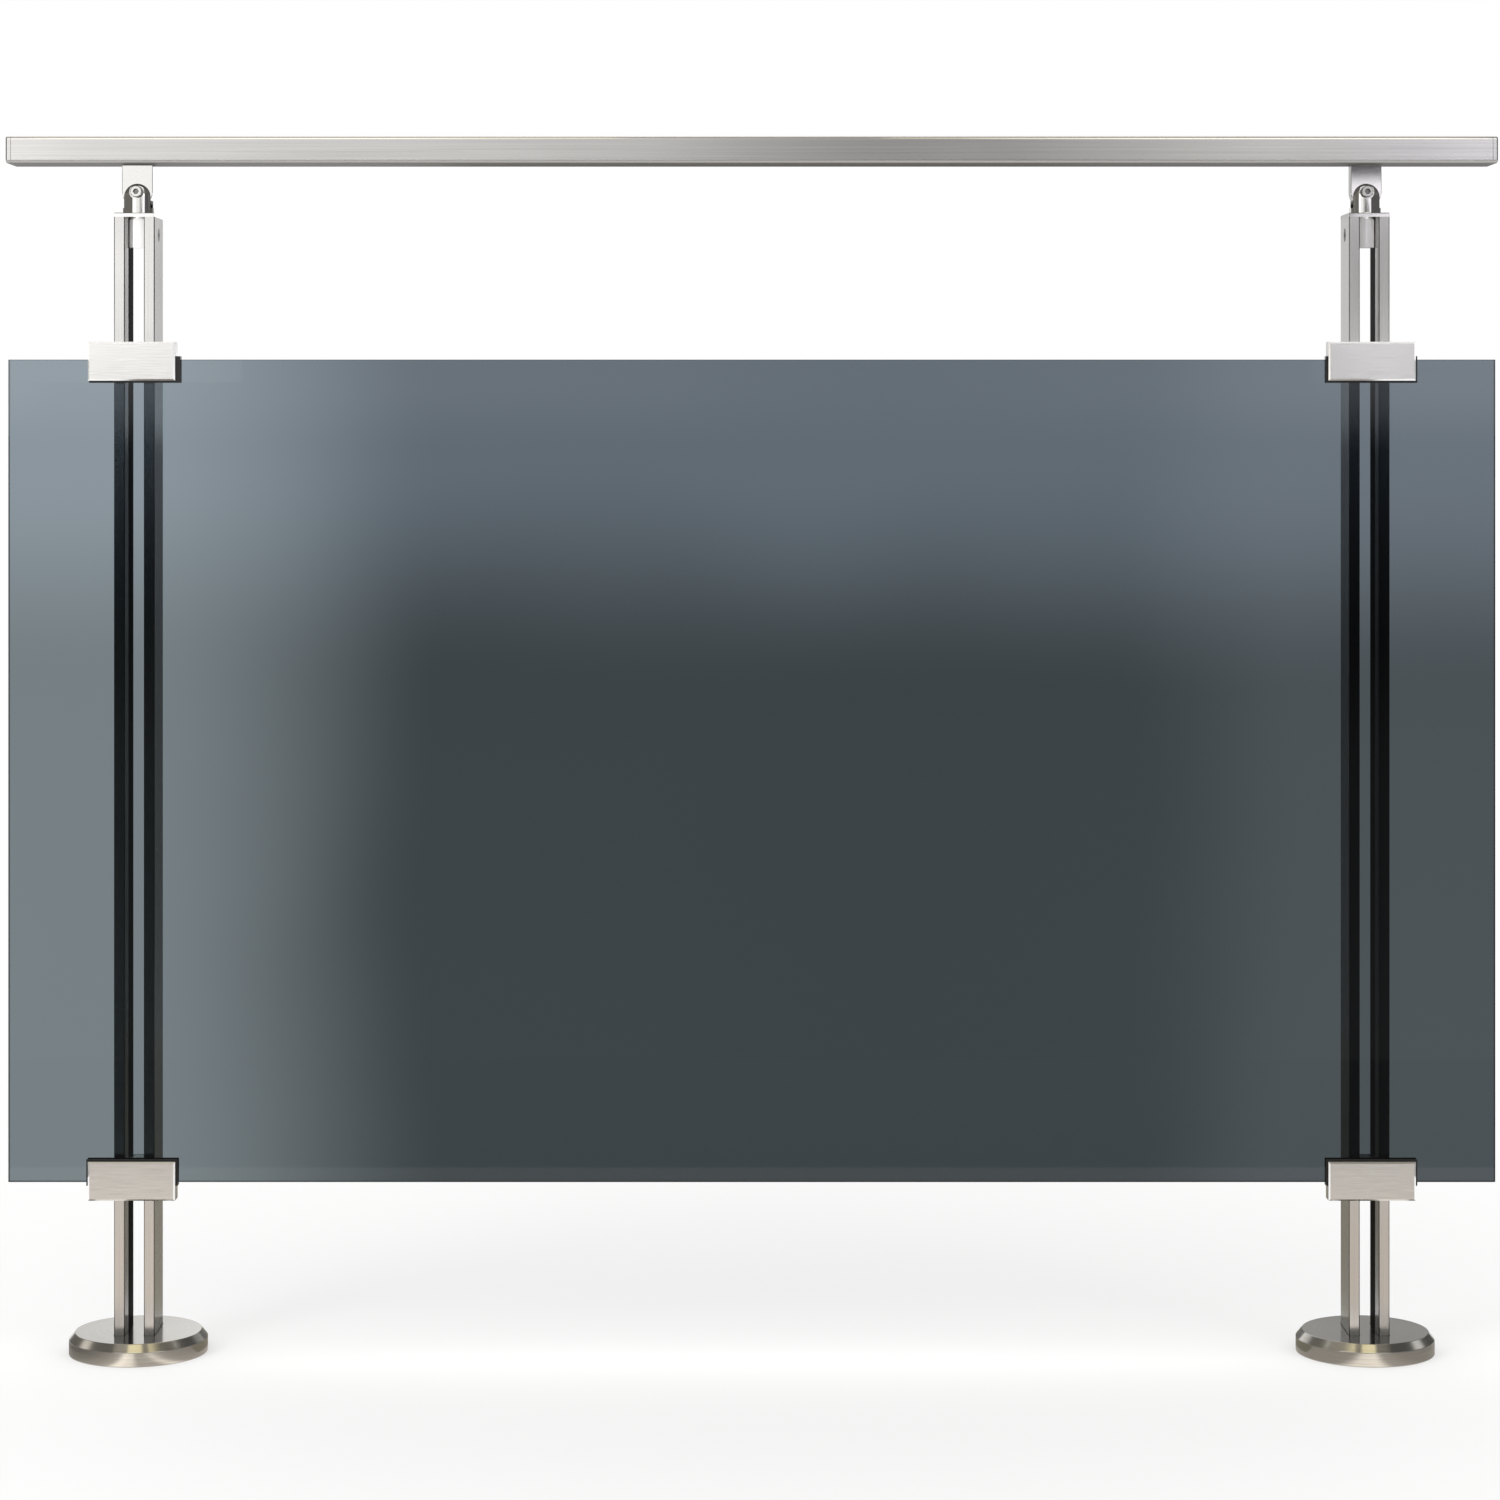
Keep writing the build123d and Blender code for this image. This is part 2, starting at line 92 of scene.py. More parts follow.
# Studio: an even white dome, a white floor, two softboxes in front and grey cards that only the
# metal and the sheet's gloss can see
studio = {
    "dome": 1.0,
    "floorHalf": 40,
    "floorColor": "#fdfdfc",
    "shadowReach": (0.5, 1.4),
    "shadowFill": 0.4,
    "softboxes": [
        {"name": "key_softbox", "place": (-2.3, -2.6, 1.5), "size": (1.2, 1.6), "watts": 26},
        {"name": "fill_softbox", "place": (2.6, -2.4, 1.4), "size": (0.9, 1.4), "watts": 9},
    ],
    "aim": (0, 0, 0.5),
}


def makeWorld():
    world = bpy.data.worlds.new("white_dome")
    world.use_nodes = True
    world.cycles.sampling_method = "NONE"
    tree = world.node_tree
    tree.nodes.clear()
    white = addNode(tree, "ShaderNodeBackground", {"Color": (1, 1, 1, 1), "Strength": studio["dome"]})
    addNode(tree, "ShaderNodeOutputWorld", {"Surface": white.outputs["Background"]})
    scene.world = world


# Painted plywood, matt white: it keeps a soft shadow by the bay and runs out into the white of the dome
def makeFloor():
    half = studio["floorHalf"]
    mesh = bpy.data.meshes.new("floor")
    corners = [(-half, -half, 0), (half, -half, 0), (half, half, 0), (-half, half, 0)]
    mesh.from_pydata(corners, [], [(0, 1, 2, 3)])
    floor = bpy.data.objects.new("floor", mesh)
    material = newMaterial("matt_white_paint")
    tree = material.node_tree
    paint = addNode(tree, "ShaderNodeBsdfDiffuse", {"Color": hexColor(studio["floorColor"])})
    glow = addNode(tree, "ShaderNodeEmission", {"Strength": studio["dome"]})
    place = addNode(tree, "ShaderNodeTexCoord")
    away = addNode(tree, "ShaderNodeVectorMath", {0: place.outputs["Object"]}, operation="LENGTH")
    near, far = studio["shadowReach"]
    fade = addNode(tree, "ShaderNodeMapRange", {
        "Value": away.outputs["Value"], "From Min": near, "From Max": far, "To Min": studio["shadowFill"],
    }, interpolation_type="SMOOTHSTEP")
    surface = addNode(tree, "ShaderNodeMixShader", {
        0: fade.outputs["Result"], 1: paint.outputs["BSDF"], 2: glow.outputs["Emission"],
    })
    addNode(tree, "ShaderNodeOutputMaterial", {"Surface": surface.outputs["Shader"]})
    material.cycles.emission_sampling = "NONE"
    mesh.materials.append(material)
    scene.collection.objects.link(floor)


def makeSoftbox(name, place, size, watts):
    light = bpy.data.lights.new(name, "AREA")
    light.shape = "RECTANGLE"
    light.size, light.size_y = size
    light.energy = watts
    lamp = bpy.data.objects.new(name, light)
    lamp.location = place
    toAim = Vector(studio["aim"]) - Vector(place)
    lamp.rotation_euler = toAim.to_track_quat("-Z", "Y").to_euler()
    lamp.visible_glossy = False
    scene.collection.objects.link(lamp)


# The same level from one end of a card to the other
def flat(level):
    return [(0.0, level), (1.0, level)]


# Flags and cards in a tent round the bay, as a steel photographer sets them: only reflections see
# them, so they draw the dark and bright bands of the metal and light nothing.
# Each is a rectangle from corner along two edges. Its level is read from stops, which are pairs of a
# share of the first edge and a level, and falls to base where the share of the second edge, by hold, is 0.
# Hold, base and tint are left out where a card is even and white.
band = [(0.0, 1.0), (0.29, 1.0), (0.31, 0.0), (0.39, 0.0), (0.42, 1.0), (1.0, 1.0)]
cards = [
    # the tent's front: the rail's long gradient, the clamps and, below the middle, the dark sheet
    {
        "name": "front_card", "corner": (-1.5, -1.36, 0.0), "across": (3.0, 0, 0), "up": (0, 0, 2.0),
        "stops": [
            (0.0, 1.1), (0.13, 1.8), (0.23, 1.85), (0.256, 1.35), (0.31, 1.27), (0.39, 1.24),
            (0.46, 1.12), (0.5, 0.8), (0.527, 0.66), (0.553, 0.6), (0.58, 0.68), (0.635, 0.95),
            (0.69, 1.35), (0.716, 1.6), (0.743, 1.9), (0.77, 1.9), (0.87, 1.7), (1.0, 1.0),
        ],
        "hold": [(0.0, 0.2), (0.14, 0.12), (0.24, 0.0), (0.33, 0.0), (0.37, 1.0), (1.0, 1.0)],
        "base": 0.12,
    },
    # white above the eye's level, for the rail's upper edge
    {
        "name": "high_card_left", "corner": (-1.5, -1.355, 1.25), "across": (1.3, 0, 0),
        "up": (0, 0, 0.75), "stops": [(0.0, 2.0), (0.8, 2.0), (1.0, 1.2)],
    },
    {
        "name": "high_card_right", "corner": (0.25, -1.355, 1.25), "across": (1.25, 0, 0),
        "up": (0, 0, 0.75), "stops": [(0.0, 1.2), (0.2, 2.0), (1.0, 2.0)],
    },
    # the rail's right end is a little bluer
    {
        "name": "cool_card", "corner": (0.65, -1.353, 0.94), "across": (0.85, 0, 0), "up": (0, 0, 0.31),
        "stops": [(0.0, 1.6), (0.1, 1.95), (0.2, 1.95), (0.54, 1.75), (1.0, 1.0)], "tint": "#f8f6ff",
    },
    # small ones for the caps' spigots between the bars
    {
        "name": "left_spigot_card", "corner": (-0.7, -1.34, 0.888), "across": (0.05, 0, 0),
        "up": (0, 0, 0.035), "stops": flat(1.7),
    },
    {
        "name": "right_spigot_card", "corner": (0.65, -1.34, 0.888), "across": (0.05, 0, 0),
        "up": (0, 0, 0.035), "stops": [(0.0, 1.3), (1.0, 1.7)], "tint": "#f8f6ff",
    },
    # grey for the right post above the sheet
    {
        "name": "right_patch", "corner": (0.25, -1.35, 0.775), "across": (0.9, 0, 0),
        "up": (0, 0, 0.165), "stops": [(0.0, 0.2), (0.45, 0.3), (1.0, 0.6)],
    },
    # white for the upper clamps
    {
        "name": "right_strip", "corner": (0.605, -1.34, 0.738), "across": (0.135, 0, 0),
        "up": (0, 0, 0.07), "stops": flat(2.0), "tint": "#f6f6ff",
    },
    {
        "name": "left_strip", "corner": (-0.8, -1.34, 0.738), "across": (0.25, 0, 0),
        "up": (0, 0, 0.15), "stops": flat(2.0),
    },
    # darkens the right tongue below the rail
    {
        "name": "tongue_flag", "corner": (0.6, -1.33, 0.9605), "across": (0.15, 0, 0),
        "up": (0, 0, 0.06), "stops": [(0.0, 0.0), (1.0, 0.1)], "tint": "#f6f0ff",
    },
    # the tent's ceiling: yellowish glints on the covers' bevels
    {
        "name": "warm_card_left", "corner": (-0.8, -1.25, 1.98), "across": (0.65, 0, 0),
        "up": (0, 0.5, 0), "stops": flat(1.6), "tint": "#fff4c8",
    },
    {
        "name": "warm_card_right", "corner": (0.15, -1.25, 1.98), "across": (0.65, 0, 0),
        "up": (0, 0.5, 0), "stops": flat(1.6), "tint": "#fff4c8",
    },
    {
        "name": "top_card", "corner": (-1.2, 0.0, 1.98), "across": (2.4, 0, 0), "up": (0, 0.6, 0),
        "stops": flat(1.7),
    },
    {
        "name": "ceiling_flag", "corner": (-1.5, -1.36, 2.0), "across": (3.0, 0, 0), "up": (0, 2.86, 0),
        "stops": [(0.0, 0.45), (0.4, 0.45), (0.6, 0.24), (1.0, 0.24)], "tint": "#fff6e6",
    },
    # the tent's back, which the bars' sides mirror
    {
        "name": "back_flag", "corner": (-0.35, 1.48, 0.0), "across": (0.7, 0, 0), "up": (0, 0, 0.68),
        "stops": [(0.0, 0.25), (1.0, 0.2)],
    },
    {
        "name": "back_card", "corner": (-1.5, 1.5, 0.0), "across": (3.0, 0, 0), "up": (0, 0, 2.0),
        "stops": [
            (0.0, 0.2), (0.2, 0.85), (0.36, 1.2), (0.44, 1.4),
            (0.48, 1.1), (0.54, 0.6), (0.75, 0.42), (1.0, 0.1),
        ],
    },
    # its side walls: dark, with a bright band at the height of the sheet's upper edge
    {
        "name": "left_wall", "corner": (-1.5, -1.36, 0.0), "across": (0, 2.86, 0), "up": (0, 0, 2.0),
        "stops": flat(0.2), "hold": band, "base": 1.2, "tint": "#fffaf3",
    },
    {
        "name": "right_wall", "corner": (1.5, -1.36, 0.0), "across": (0, 2.86, 0), "up": (0, 0, 2.0),
        "stops": flat(0.12), "hold": band, "base": 1.1,
    },
    # on the floor: the rail's lower edge, the lower clamps and the bars' feet
    {
        "name": "floor_flag", "corner": (-1.5, -1.36, 0.004), "across": (3.0, 0, 0),
        "up": (0, 0.64, 0), "stops": flat(0.3),
    },
    {
        "name": "near_floor", "corner": (-1.5, -0.72, 0.003), "across": (3.0, 0, 0),
        "up": (0, 0.56, 0), "stops": [(0.0, 1.0), (0.6, 1.0), (0.67, 0.82), (1.0, 0.8)],
        "tint": "#fff3e6",
    },
    {
        "name": "clamp_floor", "corner": (-1.5, -0.74, 0.006), "across": (3.0, 0, 0),
        "up": (0, 0.16, 0), "stops": [(0.0, 1.2), (1.0, 1.15)], "tint": "#fffefa",
    },
    {
        "name": "middle_flag", "corner": (-0.42, -0.02, 0.004), "across": (0.84, 0, 0),
        "up": (0, 1.5, 0), "stops": [(0.0, 0.32), (1.0, 0.28)], "tint": "#fff8e2",
    },
    # under the covers' sides: upright bands
    {
        "name": "left_foot_card", "corner": (-0.575, -0.16, 0.0005), "across": (0.24, 0, 0),
        "up": (0, 0.2, 0),
        "stops": [
            (0.0, 0.2), (0.2, 0.22), (0.27, 0.34), (0.37, 0.56), (0.42, 0.75), (0.46, 1.9), (0.5, 1.6),
            (0.545, 0.75), (0.6, 0.75), (0.638, 1.5), (0.685, 0.62), (0.8, 0.45), (1.0, 0.4),
        ],
        "tint": "#fff8f0",
    },
    {
        "name": "right_foot_card", "corner": (0.335, -0.16, 0.0005), "across": (0.24, 0, 0),
        "up": (0, 0.2, 0),
        "stops": [
            (0.0, 0.42), (0.36, 0.5), (0.44, 1.5), (0.51, 1.6), (0.57, 0.6), (0.7, 0.42), (1.0, 0.28),
        ],
        "tint": "#fff8f0",
    },
]


def levelRamp(tree, share, stops):
    ramp = addNode(tree, "ShaderNodeValToRGB", {"Fac": share})
    ramp.color_ramp.interpolation = "EASE"
    marks = ramp.color_ramp.elements
    peak = 2.0  # a ramp's colours end at 1, so levels are halved in it and doubled after it
    for index, (position, level) in enumerate(stops):
        mark = marks[index] if index < 2 else marks.new(position)
        mark.position = position
        mark.color = (level / peak, level / peak, level / peak, 1)
    return addNode(tree, "ShaderNodeMath", {0: ramp.outputs["Color"], 1: peak}, operation="MULTIPLY")


def makeCard(name, corner, across, up, stops, hold=flat(1.0), base=1.0, tint="#ffffff"):
    origin, first, second = Vector(corner), Vector(across), Vector(up)
    mesh = bpy.data.meshes.new(name)
    corners = [origin, origin + first, origin + first + second, origin + second]
    mesh.from_pydata(corners, [], [(0, 1, 2, 3)])
    shares = mesh.uv_layers.new(name="shares")
    for loop, share in zip(shares.data, [(0, 0), (1, 0), (1, 1), (0, 1)]):
        loop.uv = share
    material = newMaterial(name)
    material.cycles.emission_sampling = "NONE"
    tree = material.node_tree
    place = addNode(tree, "ShaderNodeTexCoord")
    parts = addNode(tree, "ShaderNodeSeparateXYZ", {"Vector": place.outputs["UV"]})
    level = levelRamp(tree, parts.outputs["X"], stops)
    held = levelRamp(tree, parts.outputs["Y"], hold)
    strength = addNode(tree, "ShaderNodeMix", {
        0: held.outputs["Value"], 2: base, 3: level.outputs["Value"],
    })
    glow = addNode(tree, "ShaderNodeEmission", {
        "Color": hexColor(tint), "Strength": strength.outputs[0],
    })
    addNode(tree, "ShaderNodeOutputMaterial", {"Surface": glow.outputs["Emission"]})
    mesh.materials.append(material)
    card = bpy.data.objects.new(name, mesh)
    for ray in ("camera", "diffuse", "transmission", "volume_scatter", "shadow"):
        setattr(card, "visible_" + ray, False)
    scene.collection.objects.link(card)


makeWorld()
makeFloor()
for softbox in studio["softboxes"]:
    makeSoftbox(**softbox)
for card in cards:
    makeCard(**card)
scene.view_settings.view_transform = "Standard"
print("studio made")

# Brushed and satin stainless steel. The grain is a fine belt mark: narrow across, long along the
# stroke, so it spreads each reflection into a streak across the stroke and dims it a little.
# grain is the width of a mark and stroke its length, both in mm, and axis is the stroke's way:
# a letter, or "round" for a piece turned or spun about its post.
# A real belt mark is about 0.05 mm wide. The grain is drawn coarser, so that it shows.
# recess names the places that get painted light (painted shade on most, a painted highlight on a cap's
# spigot), see the table below, and edge is the finish of rounded corners, which the belt hardly reaches:
# they stay smoother, so they mirror thin lines, and their colour paints the lines in: painted dark
# reflections on the posts, painted highlights on the rail and the clamps.
steels = {
    # long belt marks: its face has a silky, streaked sheen that fades along the rail
    "rail_steel": {
        "name": "stainless_tube_belt_brushed",
        "color": "#bfbdbb", "dark": "#b4b2b0", "roughness": 0.2, "anisotropy": 0.85, "around": "X",
        # its underside colour below is painted shade, and its light corner colour a painted highlight
        "turn": 0, "axis": "X", "grain": 1.1, "stroke": 220, "depth": 0.005, "recess": "underside",
        "edge": {"roughness": 0.09, "color": "#d6d4d2"},
    },
    # satin ground along the bar: each side is one even tone, its corners painted dark reflection lines
    "post_steel": {
        "name": "stainless_flat_bar_ground_lengthwise",
        "color": "#cccac8", "dark": "#c3c1bf", "roughness": 0.26, "anisotropy": 0.85, "around": "Z",
        # the gap's near-black colour is painted shade between the bars
        "turn": 0, "axis": "Z", "grain": 0.8, "stroke": 120, "depth": 0.008, "recess": "gap",
        # the dark corner colour is a painted reflection
        "edge": {"roughness": 0.07, "color": "#6e6c6a"},
    },
    # short fine marks: the plates look almost white, with painted highlights on the corners
    "clamp_steel": {
        "name": "stainless_clamp_fine_brushed",
        "color": "#ebe9e6", "dark": "#d9d7d5", "roughness": 0.22, "anisotropy": 0.8, "around": "X",
        "turn": 0, "axis": "X", "grain": 0.5, "stroke": 25, "depth": 0.02, "recess": None,
        # the white corner colour is a painted highlight
        "edge": {"roughness": 0.1, "color": "#ffffff"},
    },
    # polished after turning: crisp dark and bright bands down its round sides
    "bracket_steel": {
        "name": "stainless_bracket_turned_polished",
        "color": "#dcdad7", "dark": "#d2d0cd", "roughness": 0.05, "anisotropy": 0.3, "around": "Z",
        "turn": 0.25, "axis": "round", "grain": 0.4, "stroke": 20, "depth": 0.01,
        # its spigot is bead-blasted and whitened past that as a painted highlight
        "recess": "spigot", "edge": None,
    },
    # satin put on while it spun: soft bands that stand across the marks
    "cover_steel": {
        "name": "stainless_cover_spun_satin",
        "color": "#bfbcb5", "dark": "#b2afa8", "roughness": 0.17, "anisotropy": 0.6, "around": "Z",
        "turn": 0.25, "axis": "round", "grain": 0.5, "stroke": 60, "depth": 0.01,
        "recess": None, "edge": None,
    },
    # as rolled: dull grey with no bands
    "plate_steel": {
        "name": "stainless_plate_mill_finish",
        "color": "#a9a7a3", "dark": "#8f8d89", "roughness": 0.45, "anisotropy": 0.0, "around": "Z",
        "turn": 0, "axis": "X", "grain": 2.0, "stroke": 6, "depth": 0.1, "recess": None, "edge": None,
    },
    # turned bright: small glints round a socket darkened with painted shade
    "screw_steel": {
        "name": "stainless_screw_turned_bright",
        "color": "#d3d1ce", "dark": "#c6c4c1", "roughness": 0.16, "anisotropy": 0.3, "around": "Z",
        "turn": 0, "axis": "Z", "grain": 0.4, "stroke": 3, "depth": 0.01,
        # its socket and its sideways flat heads get painted shade
        "recess": "socket", "edge": None,
    },
}
wear = {
    "tones": (0.3, 0.65),  # levels of the marks' noise that get the dark and the light colour
    "wipeSize": 60,  # mm, a hand mark
    "wipeLevels": (0.3, 0.7),
    "wipeShare": 0.06,  # what a hand mark changes of the roughness
    "markDepth": 0.2,  # mm, at depth 1
}
# Painted light: shade painted into the gap between a post's bars, into a screw's socket and onto its flat
# heads, and under the rail, and a painted highlight on a cap's spigot
paintedSpots = {
    "gap": {"color": "#060505", "metal": 0.0, "roughness": 0.5},
    "socket": {"color": "#787572", "metal": 1.0, "roughness": 0.3},
    "spigot": {"color": "#f6f5f4", "metal": 0.6, "roughness": 0.12},
    "underside": {"color": "#b8b6b4", "metal": 0.4, "roughness": 0.4},
}
# painted shade under the rail, darkest where it faces straight down
paintedUndersideShade = "#7b7876"
paintedHeadShade = "#2e2c2a"  # painted shade on the flat heads beside a cap
flatten = 0.12  # a spigot's front and back are milled nearly flat

# Where each finish begins and ends: places in metres and parts of a normal
postX = 0.455
coverRadius = 51 * mm
gapEdge = (7.1 * mm, 7.3 * mm)  # out from a post's middle, at the bars' inner faces
postEdge = (14.5 * mm, 14.8 * mm)  # out from a post's middle, at the bars' outer faces
gapShadeStart = (-5 * mm, -2 * mm)  # Y where the painted shade on a bar's inner face begins, behind its front strip
socketStart = (-12.7 * mm, -12.2 * mm)  # Y just behind the face of a pivot bolt's head
spigotTop = (840 * mm, 840.5 * mm)
undersideTurn = (-0.4, -0.08)
deepShadeTurn = (-1.0, -0.7)
flatHeadTurn = (0.9, 0.98)
cornerTurn = (0.97, 0.999)


# Polar coordinates about the nearer post, with the way round laid out as metres of arc at the rim
def roundTexture(tree, parts):
    acrossPost = addNode(tree, "ShaderNodeMath", {0: parts.outputs["X"]}, operation="ABSOLUTE")
    offset = addNode(tree, "ShaderNodeMath", {0: acrossPost.outputs[0], 1: postX}, operation="SUBTRACT")
    spoke = addNode(tree, "ShaderNodeCombineXYZ", {"X": offset.outputs[0], "Y": parts.outputs["Y"]})
    radius = addNode(tree, "ShaderNodeVectorMath", {0: spoke.outputs[0]}, operation="LENGTH")
    angle = addNode(tree, "ShaderNodeMath", {
        0: parts.outputs["Y"], 1: offset.outputs[0],
    }, operation="ARCTAN2")
    arc = addNode(tree, "ShaderNodeMath", {0: angle.outputs[0], 1: coverRadius}, operation="MULTIPLY")
    return addNode(tree, "ShaderNodeCombineXYZ", {
        "X": radius.outputs["Value"], "Y": arc.outputs[0], "Z": parts.outputs["Z"],
    })


# 1 on the flat heads that face sideways
def flatHeadMask(tree, normals):
    sideways = addNode(tree, "ShaderNodeMath", {0: normals.outputs["X"]}, operation="ABSOLUTE")
    return addNode(tree, "ShaderNodeMapRange", {
        "Value": sideways.outputs[0], "From Min": flatHeadTurn[0], "From Max": flatHeadTurn[1],
    })


# 1 where painted light goes: painted shade in the gap between a post's bars behind their front strip,
# below the face of a screw's head, in its socket, and on the flat heads that face sideways, and below
# the rail; on a cap's spigot, which is bead-blasted, a near-white painted highlight
def paintedSpotMask(tree, parts, normals, recess):
    if recess == "underside":
        return addNode(tree, "ShaderNodeMapRange", {
            "Value": normals.outputs["Z"], "From Min": undersideTurn[0], "From Max": undersideTurn[1],
            "To Min": 1.0, "To Max": 0.0,
        })
    # the spigot is bead-blasted, and whitened past that as a painted highlight
    if recess == "spigot":
        return addNode(tree, "ShaderNodeMapRange", {
            "Value": parts.outputs["Z"], "From Min": spigotTop[0], "From Max": spigotTop[1],
            "To Min": 1.0, "To Max": 0.0,
        })
    acrossPost = addNode(tree, "ShaderNodeMath", {0: parts.outputs["X"]}, operation="ABSOLUTE")
    offset = addNode(tree, "ShaderNodeMath", {0: acrossPost.outputs[0], 1: postX}, operation="SUBTRACT")
    reach = addNode(tree, "ShaderNodeMath", {0: offset.outputs[0]}, operation="ABSOLUTE")
    # painted shade on a bar's inner face, behind its front strip
    if recess == "gap":
        inside = addNode(tree, "ShaderNodeMapRange", {
            "Value": reach.outputs[0], "From Min": gapEdge[0], "From Max": gapEdge[1],
            "To Min": 1.0, "To Max": 0.0,
        })
        deep = addNode(tree, "ShaderNodeMapRange", {
            "Value": parts.outputs["Y"], "From Min": gapShadeStart[0], "From Max": gapShadeStart[1],
        }, interpolation_type="SMOOTHSTEP")
        return addNode(tree, "ShaderNodeMath", {
            0: inside.outputs["Result"], 1: deep.outputs["Result"],
        }, operation="MULTIPLY")
    below = addNode(tree, "ShaderNodeMapRange", {
        "Value": reach.outputs[0], "From Min": postEdge[0], "From Max": postEdge[1],
        "To Min": 1.0, "To Max": 0.0,
    })
    behind = addNode(tree, "ShaderNodeMapRange", {
        "Value": parts.outputs["Y"], "From Min": socketStart[0], "From Max": socketStart[1],
    })
    socket = addNode(tree, "ShaderNodeMath", {
        0: below.outputs["Result"], 1: behind.outputs["Result"],
    }, operation="MULTIPLY")
    return addNode(tree, "ShaderNodeMath", {
        0: socket.outputs[0], 1: flatHeadMask(tree, normals).outputs["Result"],
    }, operation="MAXIMUM")


# 1 on rounded corners and chamfers, where a flat piece faces none of its axes
def edgeMask(tree, normals):
    facing = [
        addNode(tree, "ShaderNodeMath", {0: normals.outputs[letter]}, operation="ABSOLUTE").outputs[0]
        for letter in "XYZ"
    ]
    pair = addNode(tree, "ShaderNodeMath", {0: facing[0], 1: facing[1]}, operation="MAXIMUM")
    most = addNode(tree, "ShaderNodeMath", {0: pair.outputs[0], 1: facing[2]}, operation="MAXIMUM")
    return addNode(tree, "ShaderNodeMapRange", {
        "Value": most.outputs[0], "From Min": cornerTurn[0], "From Max": cornerTurn[1],
        "To Min": 1.0, "To Max": 0.0,
    })


